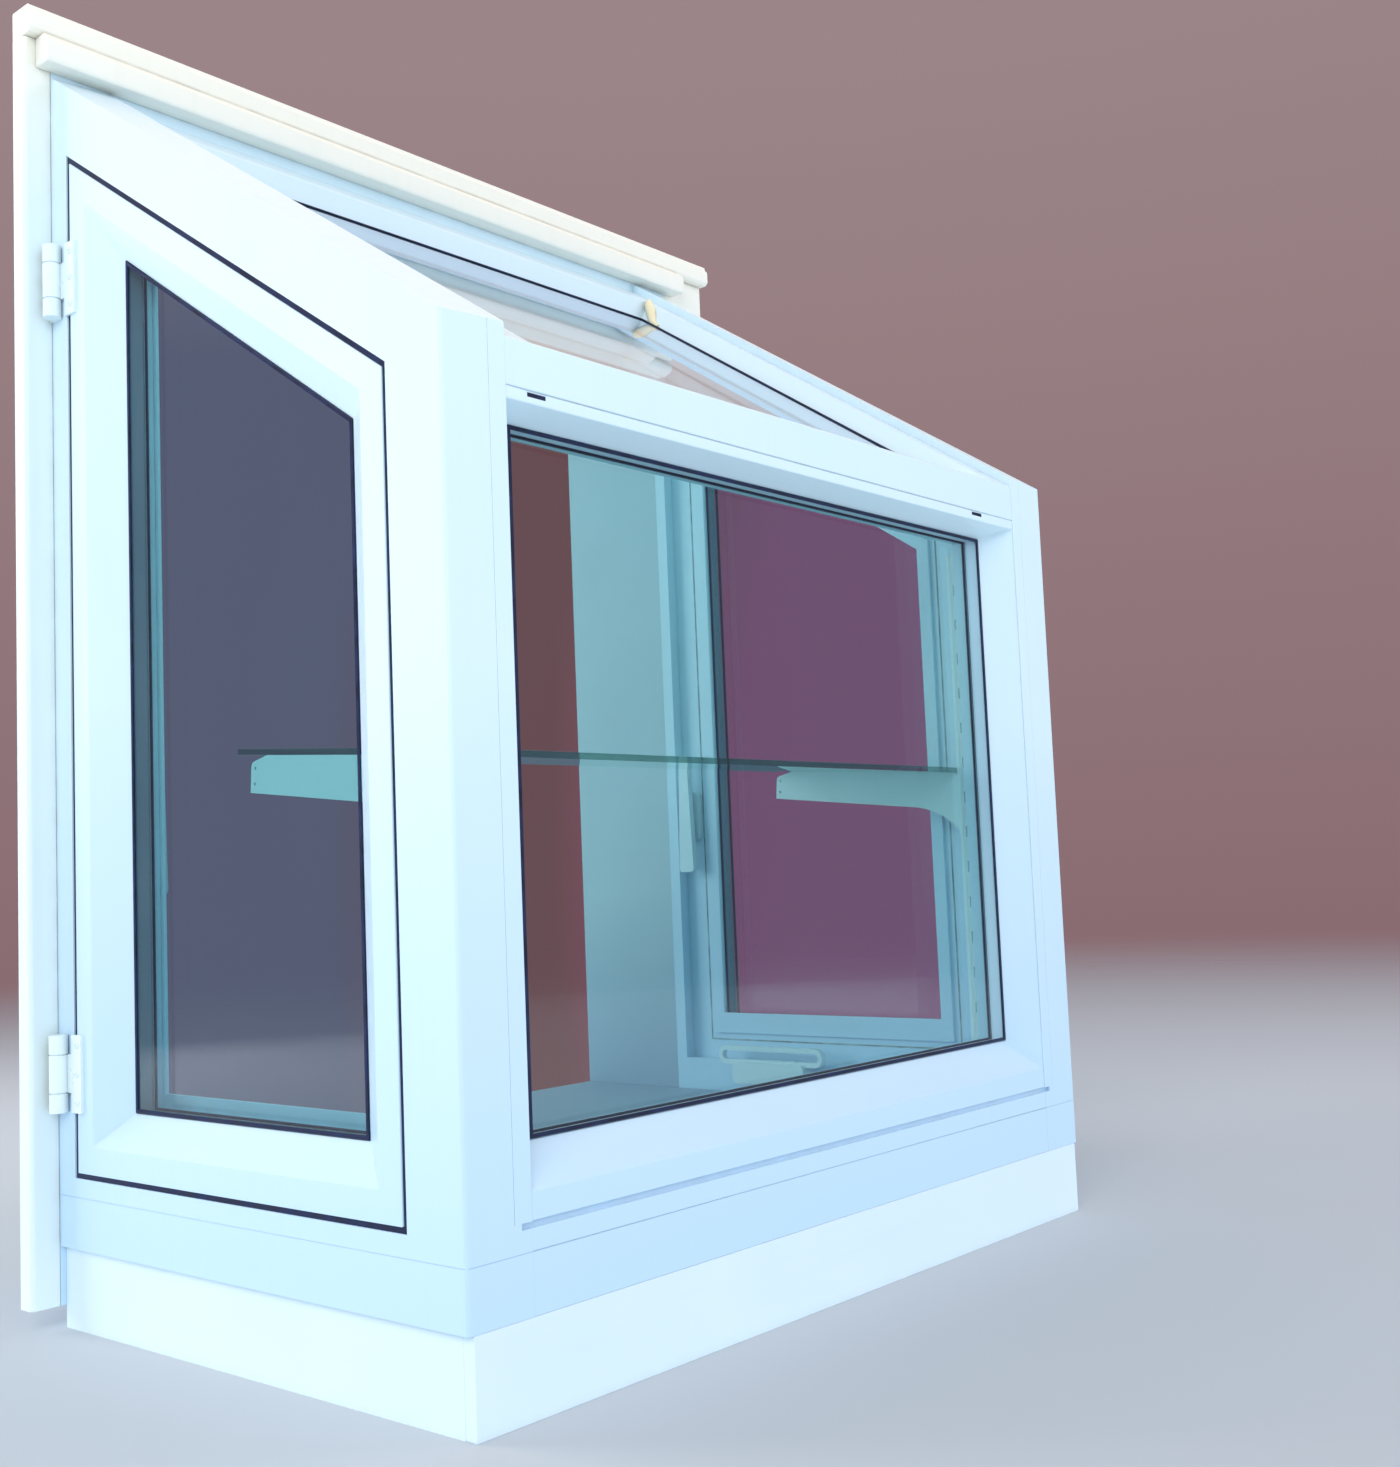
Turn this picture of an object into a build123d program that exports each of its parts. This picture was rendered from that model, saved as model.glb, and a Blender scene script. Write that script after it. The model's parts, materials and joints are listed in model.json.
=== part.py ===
"""Garden window: a vinyl and glass box with two side casements and a sloping glass roof, hung on a wall."""

import os
from math import cos, radians, sin, tan

from build123d import *

os.makedirs("parts", exist_ok=True)

# Overall size in mm. X runs along the wall, +Y goes into the house, and the wall's outer face is Y = 0.
# Z = 0 is the underside of the vinyl frames, where the skirt starts.
width = 914.4
projection = 590.0
front_height = 756.8
roof_pitch = 33.8
wall_thickness = 114.0

# Frame against the wall, with its casing boards
wall_frame_depth = 22.0
wall_frame_drop = 55.0
casing_left_width = 28.2
casing_right_width = 82.3
casing_chamfer = 3.0
casing_head_height = 28.0
casing_head_depth = 36.0
head_cap_height = 30.0
head_cap_depth = 47.0
head_cap_overhang = 16.0
moulding_step = 4.0

# Side frames, with the opening that holds each casement and a top that falls a little to the outside
side_depth = 65.6
side_wall_stile = 27.8
side_front_stile = 65.0
side_bottom_rail = 64.6
side_top_rail = 61.8
stop_width = 16.0
top_fall = 3.7
eave_round = 4.5
corner_round = 3.0
post_line = 18.0

# Casements
sash_gap = 5.0
sash_depth = 50.0
sash_stile_flat = 26.5
sash_rail_flat = 25.0
sash_stile_bevel = 37.5
sash_rail_bevel = 30.5

# Front frame, its sill and the lines cut in them
front_depth = 65.0
front_setback = 0.6
sill_top = 69.2
eave_rail = 49.8
front_top_flat = 10.5
front_bottom_flat = 21.6
front_side_bevel = 28.2
front_bottom_bevel = 32.2
front_top_bevel = 10.3
groove_height = 5.0
groove_depth = 4.0
groove_end = 10.5
drip_line = 47.0
drip_line_size = 0.5
weep_width = 20.0
weep_height = 3.5
weep_depth = 7.0
weep_top = 1.8
weep_left = -357.5
weep_right = 314.8

# Roof frame, lower than the side frames that stand beside it
roof_drop = 9.5
roof_depth = 54.0
roof_side_rail = 29.4
roof_wall_rail = 58.0
roof_front_lip = 3.0
roof_front_edge = 38.0
roof_bevel = 13.0

# Glass units, seated from the inside and held by beads
side_glass_depth = 22.7
front_glass_depth = 31.0
roof_glass_depth = 32.0
glass_thickness = 18.0
glass_rebate = 10.0
glass_play = 2.0
gasket_width = 3.5
gasket_thickness = 1.6
bevel_step = 1.4
bevel_step_share = 0.6
bead_play = 0.3

# Seat, base and skirt
seat_top = 41.0
seat_thickness = 22.0
skirt_height = 75.4
skirt_board = 12.0
skirt_inset = 5.5
jamb_board = 18.0
jamb_lap = 3.0

# Hinges on the wall side of each casement, at these distances from the ends of its stile
hinge_height = 71.5
hinge_low_end = 90.6
hinge_high_end = 116.3
hinge_radius = 8.5
hinge_knuckle = 35.4
hinge_leaf = 3.2
hinge_frame_leaf = 10.5
hinge_sash_leaf = 12.0
hinge_groove = 1.2

# Shelf with its brackets, which rise a little towards the room, and the slotted standards that hold them
shelf_height = 424.5
shelf_rise = 4.3
shelf_thickness = 6.0
shelf_depth = 287.0
shelf_side_gap = 3.0
standard_width = 20.0
standard_depth = 10.0
standard_bottom = 90.0
standard_gap = 29.0
slot_height = 12.0
slot_width = 4.0
slot_depth = 5.0
slot_pitch = 40.0
bracket_thickness = 6.0
bracket_length = 264.0
bracket_tip = 34.0
bracket_root = 68.0
bracket_shoulder = 41.0
bracket_gusset = 58.0
bracket_nose = 23.0
bracket_nose_drop = 7.0
bracket_round = 6.0
bracket_hole = 3.0
bracket_hole_inset = 6.0
bracket_hole_high = 12.0
bracket_hole_low = 26.0

# Lock handles and crank operators inside the casements
lock_height = 396.0
lock_length = 146.0
lock_plate_height = 64.0
lock_plate_width = 26.0
lock_plate_depth = 9.0
lock_stand = 14.0
lock_grip_top = 14.0
lock_grip_bottom = 24.0
lock_grip_depth = 8.0
crank_centre = 214.0
crank_length = 112.0
crank_height = 26.0
crank_depth = 20.0
crank_round = 7.0
crank_loop_length = 163.0
crank_loop_height = 23.0
crank_loop_bar = 6.0
crank_loop_depth = 8.0

# Clearance between flat pieces that are not fixed face to face
fit_gap = 0.3

half_width = width / 2
front_half = half_width - side_depth
front_top = front_height - eave_rail
pitch = radians(roof_pitch)


def roof_height(reach):
    """Height of the side frames' sloping top at this distance out from the wall."""
    return front_height + (projection - reach) * tan(pitch)


def side_plane(depth):
    """Plane parallel to the left side panel, depth inside its outer face; local x is the reach from the wall."""
    return Plane(origin=(-half_width + depth, 0, 0), x_dir=(0, -1, 0), z_dir=(-1, 0, 0))


def front_plane(depth):
    """Plane parallel to the front, depth behind its outer face."""
    return Plane(origin=(0, -projection + depth, 0), x_dir=(1, 0, 0), z_dir=(0, -1, 0))


def roof_plane(depth):
    """Plane parallel to the roof, depth below the side frames' tops; local y runs up the slope from the eave."""
    return Plane(
        origin=(0, -projection + depth * sin(pitch), front_height - depth * cos(pitch)),
        x_dir=(1, 0, 0),
        z_dir=(0, -sin(pitch), cos(pitch)),
    )


def side_outline(wall, front, bottom, top):
    """Corners of the side panel's outline, drawn in by these widths."""
    inner = wall_frame_depth + wall
    outer = projection - front
    drop = top / cos(pitch)
    return [
        (inner, bottom),
        (outer, bottom),
        (outer, roof_height(outer) - drop),
        (inner, roof_height(inner) - drop),
    ]


def sash_outline(stile, rail):
    """Corners of an outline inside the casement's opening."""
    return side_outline(
        side_wall_stile + stile, side_front_stile + stile, side_bottom_rail + rail, side_top_rail + rail
    )


def front_outline(side, bottom, top):
    """Corners of an outline inside the front frame."""
    edge = front_half - side
    low = sill_top + bottom
    high = front_top - top
    return [(-edge, low), (edge, low), (edge, high), (-edge, high)]


def roof_outline(side, front, wall):
    """Corners of an outline in the roof's plane, drawn in from the roof frame's edges."""
    edge = front_half - side
    low = front / cos(pitch)
    high = (projection - wall_frame_depth - wall) / cos(pitch)
    return [(-edge, low), (edge, low), (edge, high), (-edge, high)]


def slab(plane_at, corners, outer, inner, mode=Mode.ADD):
    """A flat plate between two depths below a panel's outer face."""
    with BuildSketch(plane_at(inner)) as outline:
        Polygon(*corners, align=None)
    extrude(outline.sketch, amount=inner - outer, mode=mode)


def splay(plane_at, wide, narrow, outer, inner):
    """Cut a bevelled opening that narrows from one outline to the other."""
    with BuildSketch(plane_at(outer)) as mouth:
        Polygon(*wide, align=None)
    with BuildSketch(plane_at(inner)) as throat:
        Polygon(*narrow, align=None)
    loft([mouth.sketch, throat.sketch], ruled=True, mode=Mode.SUBTRACT)


def between(wide, narrow, share):
    """Outline part of the way from one outline to the other."""
    return [
        (a[0] + (b[0] - a[0]) * share, a[1] + (b[1] - a[1]) * share) for a, b in zip(wide, narrow)
    ]


def glazed_opening(plane_at, wide, sight, pocket, face, glass_depth, back):
    """Cut the bevelled sight opening with its small step, and the glass pocket that opens to the inside."""
    middle = between(wide, sight, bevel_step_share)
    stepped = between(wide, sight, bevel_step_share + 0.04)
    step_depth = face + (glass_depth - face) * bevel_step_share
    splay(plane_at, wide, middle, face, step_depth)
    splay(plane_at, middle, stepped, step_depth, step_depth + bevel_step)
    splay(plane_at, stepped, sight, step_depth + bevel_step, glass_depth)
    slab(plane_at, pocket, glass_depth, back, mode=Mode.SUBTRACT)


def run(low, high, corners, mode=Mode.ADD):
    """A bar along X between two places, with a profile of (reach, height) corners."""
    with BuildSketch(side_plane(half_width + high)) as profile:
        Polygon(*corners, align=None)
    extrude(profile.sketch, amount=high - low, mode=mode)


def board(low, high, mode=Mode.ADD):
    """A box between two opposite corners."""
    centre = tuple((a + b) / 2 for a, b in zip(low, high))
    size = [b - a for a, b in zip(low, high)]
    with Locations(centre):
        Box(*size, mode=mode)


def keep(piece, name):
    """Label a finished piece and write it."""
    piece.label = name
    export_step(piece, f"parts/{name}.step")


def keep_pair(left_part, name):
    """Write a left piece, and its mirror image for the right side."""
    keep(left_part, f"{name}_left")
    with BuildPart() as right:
        mirror(left_part, about=Plane.YZ)
    keep(right.part, f"{name}_right")


# Outlines shared by the frames, the glass, the gaskets and the beads
opening_side = sash_outline(0, 0)
stop_side = sash_outline(stop_width, stop_width)
sash_edge = sash_outline(sash_gap, sash_gap)
sash_wide = sash_outline(sash_gap + sash_stile_flat, sash_gap + sash_rail_flat)
sash_stile = sash_gap + sash_stile_flat + sash_stile_bevel
sash_rail = sash_gap + sash_rail_flat + sash_rail_bevel
front_bottom = front_bottom_flat + front_bottom_bevel
front_upper = front_top_flat + front_top_bevel
roof_side = roof_side_rail + roof_bevel
roof_wall = roof_wall_rail + roof_bevel


def side_sight(inset):
    """Outline of the casement's glass opening, drawn in by an inset."""
    return sash_outline(sash_stile + inset, sash_rail + inset)


def front_sight(inset):
    """Outline of the front glass opening, drawn in by an inset."""
    return front_outline(front_side_bevel + inset, front_bottom + inset, front_upper + inset)


def roof_sight(inset):
    """Outline of the roof glass opening, drawn in by an inset."""
    return roof_outline(roof_side + inset, roof_front_edge + inset, roof_wall + inset)


def glass_unit(plane_at, sight, glass_depth):
    """Sealed glass unit, with play all round in its pocket."""
    with BuildPart() as unit:
        slab(plane_at, sight(glass_play - glass_rebate), glass_depth, glass_depth + glass_thickness)
    return unit.part


def gasket(plane_at, sight, glass_depth):
    """Black gasket strip round the glass, on its outer face."""
    with BuildPart() as strip:
        slab(plane_at, sight(bead_play), glass_depth - gasket_thickness, glass_depth)
        slab(plane_at, sight(gasket_width), glass_depth - gasket_thickness, glass_depth, mode=Mode.SUBTRACT)
    return strip.part


def bead(plane_at, sight, glass_depth, back):
    """Glazing bead that holds the glass from the inside."""
    start = glass_depth + glass_thickness
    with BuildPart() as strip:
        slab(plane_at, sight(bead_play - glass_rebate), start, back)
        slab(plane_at, sight(0), start, back, mode=Mode.SUBTRACT)
    return strip.part


# Frame against the wall
cap_bottom = roof_height(wall_frame_depth) + fit_gap
cap_top = cap_bottom + head_cap_height
head_top = cap_top + casing_head_height
seat_bottom = seat_top - seat_thickness
roof_underside = roof_height(wall_frame_depth) - (roof_drop + roof_depth) / cos(pitch)
opening_half = front_half + jamb_board

with BuildPart() as wall_frame:
    board((-half_width, -wall_frame_depth, -wall_frame_drop), (half_width, 0, cap_top))
    board(
        (-opening_half, -wall_frame_depth, seat_bottom),
        (opening_half, 0, roof_underside),
        mode=Mode.SUBTRACT,
    )
keep(wall_frame.part, "wall_frame")


def casing_leg(inner, outer):
    """Flat casing board beside the frame, with a chamfer along its outer front edge."""
    with BuildPart() as leg:
        board((min(inner, outer), -wall_frame_depth, -wall_frame_drop), (max(inner, outer), 0, cap_top))
        front_edges = leg.edges().filter_by(Axis.Z).group_by(Axis.Y)[0].sort_by(Axis.X)
        chamfer(front_edges[0] if outer < inner else front_edges[-1], length=casing_chamfer)
    return leg.part


casing_left_end = -half_width - casing_left_width
casing_right_end = half_width + casing_right_width
keep(casing_leg(-half_width, casing_left_end), "casing_left")
keep(casing_leg(half_width, casing_right_end), "casing_right")

with BuildPart() as casing_head:
    run(
        casing_left_end,
        casing_right_end,
        [
            (0, cap_top),
            (casing_head_depth - moulding_step, cap_top),
            (casing_head_depth, cap_top + moulding_step),
            (casing_head_depth, head_top - 2 * moulding_step),
            (casing_head_depth - moulding_step, head_top - moulding_step),
            (casing_head_depth - moulding_step, head_top),
            (0, head_top),
        ],
    )
keep(casing_head.part, "casing_head")

with BuildPart() as head_cap:
    run(
        -half_width - head_cap_overhang,
        half_width + head_cap_overhang,
        [
            (wall_frame_depth, cap_bottom),
            (head_cap_depth - moulding_step / 2, cap_bottom),
            (head_cap_depth, cap_bottom + moulding_step),
            (head_cap_depth, cap_top - 2 * moulding_step),
            (head_cap_depth - 2 * moulding_step, cap_top),
            (wall_frame_depth, cap_top),
        ],
    )
keep(head_cap.part, "head_cap")

# Side frames: a casement opening with an inner stop, and the fine lines cut round the outside
slope_plane = Plane(
    origin=(-half_width, -projection, front_height),
    x_dir=(1, 0, 0),
    z_dir=(0, cos(pitch), sin(pitch)),
)
lap_reach = wall_frame_depth + side_wall_stile

with BuildPart() as side_frame:
    slab(side_plane, side_outline(0, 0, 0, 0), 0, side_depth)
    eave_edges = side_frame.edges().filter_by(Axis.X).group_by(Axis.Y)[0].sort_by(Axis.Z)
    fillet(eave_edges[-1], radius=eave_round)
    corner_edges = side_frame.edges().filter_by(Axis.Z).group_by(Axis.Y)[0].sort_by(Axis.X)
    fillet(corner_edges[0], radius=corner_round)
    with BuildSketch(slope_plane) as fall:
        Polygon((0, -side_depth), (side_depth, -side_depth), (side_depth, 0), (0, top_fall), align=None)
    extrude(fall.sketch, amount=2 * projection, both=True, mode=Mode.SUBTRACT)
    slab(side_plane, opening_side, 0, sash_depth + fit_gap, mode=Mode.SUBTRACT)
    slab(side_plane, stop_side, sash_depth + fit_gap, side_depth, mode=Mode.SUBTRACT)
    board(
        (-half_width, -projection, drip_line),
        (-half_width + drip_line_size, -wall_frame_depth, drip_line + drip_line_size),
        mode=Mode.SUBTRACT,
    )
    board(
        (-half_width, -projection, drip_line),
        (-front_half, -projection + drip_line_size, drip_line + drip_line_size),
        mode=Mode.SUBTRACT,
    )
    board(
        (-front_half - groove_end, -projection, sill_top - groove_height),
        (-front_half, -projection + groove_depth, sill_top),
        mode=Mode.SUBTRACT,
    )
    board(
        (-front_half - post_line, -projection, sill_top),
        (-front_half - post_line + drip_line_size, -projection + drip_line_size, front_height),
        mode=Mode.SUBTRACT,
    )
    board(
        (-front_half - jamb_lap, -lap_reach, seat_bottom),
        (-front_half, -wall_frame_depth, roof_underside),
        mode=Mode.SUBTRACT,
    )
keep_pair(side_frame.part, "side_frame")

# Casements with their glass
sash_pocket = side_sight(-glass_rebate)
with BuildPart() as sash:
    slab(side_plane, sash_edge, 0, sash_depth)
    glazed_opening(side_plane, sash_wide, side_sight(0), sash_pocket, 0, side_glass_depth, sash_depth)
keep_pair(sash.part, "sash")
keep_pair(glass_unit(side_plane, side_sight, side_glass_depth), "glass")
keep_pair(gasket(side_plane, side_sight, side_glass_depth), "gasket")
keep_pair(bead(side_plane, side_sight, side_glass_depth, sash_depth), "glazing_bead")

# Front frame with its glass, over the sill
with BuildPart() as front_frame:
    slab(front_plane, front_outline(0, 0, 0), front_setback, front_depth)
    glazed_opening(
        front_plane,
        front_outline(0, front_bottom_flat, front_top_flat),
        front_sight(0),
        front_sight(-glass_rebate),
        front_setback,
        front_glass_depth,
        front_depth,
    )
    for centre in (weep_left, weep_right):
        board(
            (centre - weep_width / 2, -projection, front_top - weep_top - weep_height),
            (centre + weep_width / 2, -projection + weep_depth, front_top - weep_top),
            mode=Mode.SUBTRACT,
        )
keep(front_frame.part, "front_frame")
keep(glass_unit(front_plane, front_sight, front_glass_depth), "glass_front")
keep(gasket(front_plane, front_sight, front_glass_depth), "gasket_front")
keep(bead(front_plane, front_sight, front_glass_depth, front_depth), "glazing_bead_front")

front_back = -projection + front_depth
with BuildPart() as front_sill:
    board((-front_half, -projection, 0), (front_half, front_back, sill_top))
    board(
        (-front_half, -projection, sill_top - groove_height),
        (front_half, -projection + groove_depth, sill_top),
        mode=Mode.SUBTRACT,
    )
    board(
        (-front_half, -projection, drip_line),
        (front_half, -projection + drip_line_size, drip_line + drip_line_size),
        mode=Mode.SUBTRACT,
    )
keep(front_sill.part, "front_sill")


# Roof frame, whose front rail is also the eave over the front frame
def roof_surface(reach):
    """Height of the roof frame's top at this distance out from the wall."""
    return roof_height(reach) - roof_drop / cos(pitch)


roof_thickness = roof_depth / cos(pitch)
eave_back = projection - front_depth
with BuildPart() as roof_frame:
    run(
        -front_half,
        front_half,
        [
            (wall_frame_depth, roof_surface(wall_frame_depth)),
            (wall_frame_depth, roof_surface(wall_frame_depth) - roof_thickness),
            (eave_back, roof_surface(eave_back) - roof_thickness),
            (eave_back, front_top),
            (projection, front_top),
            (projection, roof_surface(projection)),
        ],
    )
    splay(
        roof_plane,
        roof_outline(roof_side_rail, roof_front_lip - roof_drop * sin(pitch), roof_wall_rail),
        roof_sight(0),
        roof_drop,
        roof_glass_depth,
    )
    slab(roof_plane, roof_sight(-glass_rebate), roof_glass_depth, 2 * side_depth, mode=Mode.SUBTRACT)
keep(roof_frame.part, "roof_frame")
keep(glass_unit(roof_plane, roof_sight, roof_glass_depth), "glass_roof")
keep(gasket(roof_plane, roof_sight, roof_glass_depth), "gasket_roof")
keep(bead(roof_plane, roof_sight, roof_glass_depth, roof_drop + roof_depth), "glazing_bead_roof")

# Seat board, the base under it and the linings through the wall
with BuildPart() as seat_board:
    board((-front_half, front_back, seat_bottom), (front_half, wall_thickness, seat_top))
keep(seat_board.part, "seat_board")

with BuildPart() as base_panel:
    board((-front_half, front_back, 0), (front_half, -wall_frame_depth, seat_bottom))
keep(base_panel.part, "base_panel")

with BuildPart() as jamb:
    board((-opening_half, -wall_frame_depth, seat_bottom), (-front_half, wall_thickness, roof_underside))
    board(
        (-front_half - jamb_lap, -lap_reach, seat_bottom),
        (-front_half, -wall_frame_depth, roof_underside),
    )
keep_pair(jamb.part, "jamb")

with BuildPart() as head_jamb:
    board(
        (-front_half, -wall_frame_depth, roof_underside - jamb_board),
        (front_half, wall_thickness, roof_underside),
    )
keep(head_jamb.part, "head_jamb")

# Skirt boards below the frames
skirt_half = half_width - skirt_inset
skirt_back = -projection + skirt_board
with BuildPart() as skirt_front:
    board((-skirt_half, -projection, -skirt_height), (skirt_half, skirt_back, 0))
keep(skirt_front.part, "skirt_front")

with BuildPart() as skirt_side:
    board((-skirt_half, skirt_back, -skirt_height), (-skirt_half + skirt_board, -wall_frame_depth, 0))
keep_pair(skirt_side.part, "skirt")

# Hinges: a three-knuckle barrel with a leaf on the frame and a taller leaf on the casement
hinge_reach = wall_frame_depth + hinge_frame_leaf + hinge_radius / 2
gap_reach = wall_frame_depth + side_wall_stile + sash_gap
leaf_face = -half_width - hinge_leaf


def hinge(centre):
    """One hinge at this height."""
    low = centre - hinge_height / 2
    high = centre + hinge_height / 2
    axis_x = -half_width - hinge_radius
    with BuildPart() as piece:
        with Locations((axis_x, -hinge_reach, centre)):
            Cylinder(hinge_radius, hinge_height)
        for level in (centre - hinge_knuckle / 2, centre + hinge_knuckle / 2):
            with BuildSketch(Plane.XY.offset(level - hinge_groove / 2)):
                with Locations((axis_x, -hinge_reach)):
                    Circle(hinge_radius)
                    Circle(hinge_radius - hinge_groove, mode=Mode.SUBTRACT)
            extrude(amount=hinge_groove, mode=Mode.SUBTRACT)
        board((leaf_face, -hinge_reach, low), (-half_width, -wall_frame_depth - fit_gap, high))
        board(
            (leaf_face, -gap_reach, centre - hinge_knuckle / 2),
            (-half_width, -hinge_reach, centre + hinge_knuckle / 2),
        )
        board((leaf_face, -gap_reach - hinge_sash_leaf, low), (-half_width, -gap_reach + sash_gap, high))
    return piece.part


keep_pair(hinge(sash_edge[0][1] + hinge_low_end), "hinge_lower")
keep_pair(hinge(sash_edge[3][1] - hinge_high_end), "hinge_upper")

# Standards on the inside of the front corners, with slots, and the shelf on its two brackets
standard_face = -front_half + standard_depth
standard_reach = eave_back
standard_top = front_top - standard_gap
bracket_x = -front_half + standard_depth / 2
shelf_start = standard_reach - standard_width


def shelf_plane(offset):
    """Plane across X, with local x running from the standards along the rising shelf and local y square to it."""
    rise = radians(shelf_rise)
    return Plane(
        origin=(offset, -shelf_start, shelf_height),
        x_dir=(0, cos(rise), sin(rise)),
        z_dir=(1, 0, 0),
    )


with BuildPart() as standard:
    board(
        (-front_half, -standard_reach, standard_bottom),
        (standard_face, -standard_reach + standard_width, standard_top),
    )
    slot_count = int((standard_top - standard_bottom) // slot_pitch)
    for number in range(slot_count):
        middle = standard_bottom + (number + 0.5) * slot_pitch
        board(
            (standard_face - slot_depth, -standard_reach + (standard_width - slot_width) / 2, middle),
            (standard_face, -standard_reach + (standard_width + slot_width) / 2, middle + slot_height),
            mode=Mode.SUBTRACT,
        )
keep_pair(standard.part, "shelf_standard")

with BuildPart() as bracket:
    heel = bracket_root * tan(radians(shelf_rise))
    with BuildSketch(shelf_plane(bracket_x - bracket_thickness / 2)):
        with BuildLine():
            Polyline(
                (-heel, -bracket_root),
                (0, 0),
                (bracket_length - bracket_nose, 0),
                (bracket_length, -bracket_nose_drop),
                (bracket_length, -bracket_tip),
                (bracket_gusset, -bracket_shoulder),
            )
            TangentArc(
                (bracket_gusset, -bracket_shoulder),
                (-heel, -bracket_root),
                tangent=(bracket_gusset - bracket_length, bracket_tip - bracket_shoulder),
            )
        make_face()
        nose = vertices().sort_by(Axis.Y)[-3:]
        fillet(nose.sort_by(Axis.Z), radius=bracket_round)
        for level in (bracket_hole_high, bracket_hole_low):
            with Locations((bracket_length - bracket_hole_inset, -level)):
                Circle(bracket_hole / 2, mode=Mode.SUBTRACT)
    extrude(amount=bracket_thickness)
keep_pair(bracket.part, "shelf_bracket")

with BuildPart() as shelf_glass:
    lean = shelf_thickness * sin(radians(shelf_rise)) + fit_gap
    with BuildSketch(shelf_plane(-front_half + shelf_side_gap)):
        with Locations((lean, 0)):
            Rectangle(shelf_depth, shelf_thickness, align=(Align.MIN, Align.MIN))
    extrude(amount=2 * (front_half - shelf_side_gap))
keep(shelf_glass.part, "shelf_glass")

# Lock handles on the casements' wall stiles
inside_face = -half_width + sash_depth
lock_reach = wall_frame_depth + side_wall_stile + stop_width + lock_plate_width / 2 + sash_gap

with BuildPart() as lock_handle:
    board(
        (inside_face, -lock_reach - lock_plate_width / 2, lock_height - lock_plate_height / 2),
        (
            inside_face + lock_plate_depth,
            -lock_reach + lock_plate_width / 2,
            lock_height + lock_plate_height / 2,
        ),
    )
    fillet(lock_handle.edges().filter_by(Axis.X), radius=lock_plate_width / 3)
    with BuildSketch(Plane.YZ.offset(inside_face + lock_stand)):
        with BuildLine():
            Polyline(
                (-lock_reach - lock_grip_bottom / 2, lock_height - lock_length / 2),
                (-lock_reach + lock_grip_bottom / 2, lock_height - lock_length / 2),
                (-lock_reach + lock_grip_top / 2, lock_height + lock_length / 2),
                (-lock_reach - lock_grip_top / 2, lock_height + lock_length / 2),
                close=True,
            )
        make_face()
        fillet(vertices(), radius=lock_grip_top / 3)
    extrude(amount=lock_grip_depth)
    with Locations((inside_face + lock_plate_depth, -lock_reach, lock_height)):
        Cylinder(
            lock_grip_top / 2,
            lock_stand - lock_plate_depth,
            rotation=(0, 90, 0),
            align=(Align.CENTER, Align.CENTER, Align.MIN),
        )
keep_pair(lock_handle.part, "lock_handle")

# Crank operators on the side frames' bottom rails, with the looped handle folded up behind the casement's rail
crank_top = side_bottom_rail + stop_width
loop_start = -front_half + (crank_depth - crank_loop_depth) / 2

with BuildPart() as crank_operator:
    board(
        (-front_half, -crank_centre - crank_length / 2, crank_top - crank_height),
        (-front_half + crank_depth, -crank_centre + crank_length / 2, crank_top),
    )
    fillet(crank_operator.edges().filter_by(Axis.X), radius=crank_round)
    with BuildSketch(Plane.YZ.offset(loop_start)):
        with Locations((-crank_centre, crank_top + (crank_loop_height - crank_loop_bar) / 2)):
            SlotOverall(crank_loop_length, crank_loop_height)
            SlotOverall(
                crank_loop_length - 2 * crank_loop_bar,
                crank_loop_height - 2 * crank_loop_bar,
                mode=Mode.SUBTRACT,
            )
    extrude(amount=crank_loop_depth)
keep_pair(crank_operator.part, "crank_operator")
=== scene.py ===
"""Looks of the garden window: vinyl, glass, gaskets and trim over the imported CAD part.

Lengths are in metres, in the part's own frame: X along the wall, +Y into the house, and Z up from the
underside of the side frames.
"""

import json
import math

import bmesh
import bpy
from mathutils import Matrix, Vector


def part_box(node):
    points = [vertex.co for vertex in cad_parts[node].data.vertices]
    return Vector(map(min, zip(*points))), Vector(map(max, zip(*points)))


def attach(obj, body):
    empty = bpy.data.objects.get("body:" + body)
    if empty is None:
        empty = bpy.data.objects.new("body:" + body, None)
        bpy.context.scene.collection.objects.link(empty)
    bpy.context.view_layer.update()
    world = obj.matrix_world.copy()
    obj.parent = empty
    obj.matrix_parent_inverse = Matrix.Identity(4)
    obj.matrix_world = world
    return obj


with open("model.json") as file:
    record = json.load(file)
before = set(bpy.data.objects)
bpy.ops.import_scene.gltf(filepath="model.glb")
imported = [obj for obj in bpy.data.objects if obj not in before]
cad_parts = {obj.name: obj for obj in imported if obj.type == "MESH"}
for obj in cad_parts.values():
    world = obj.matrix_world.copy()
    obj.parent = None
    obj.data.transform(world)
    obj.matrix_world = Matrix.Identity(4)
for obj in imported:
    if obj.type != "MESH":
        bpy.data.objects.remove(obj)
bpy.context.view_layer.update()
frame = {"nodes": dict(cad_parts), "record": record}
nodes = frame["nodes"]

SIDES = {"left": -1, "right": 1}

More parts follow.
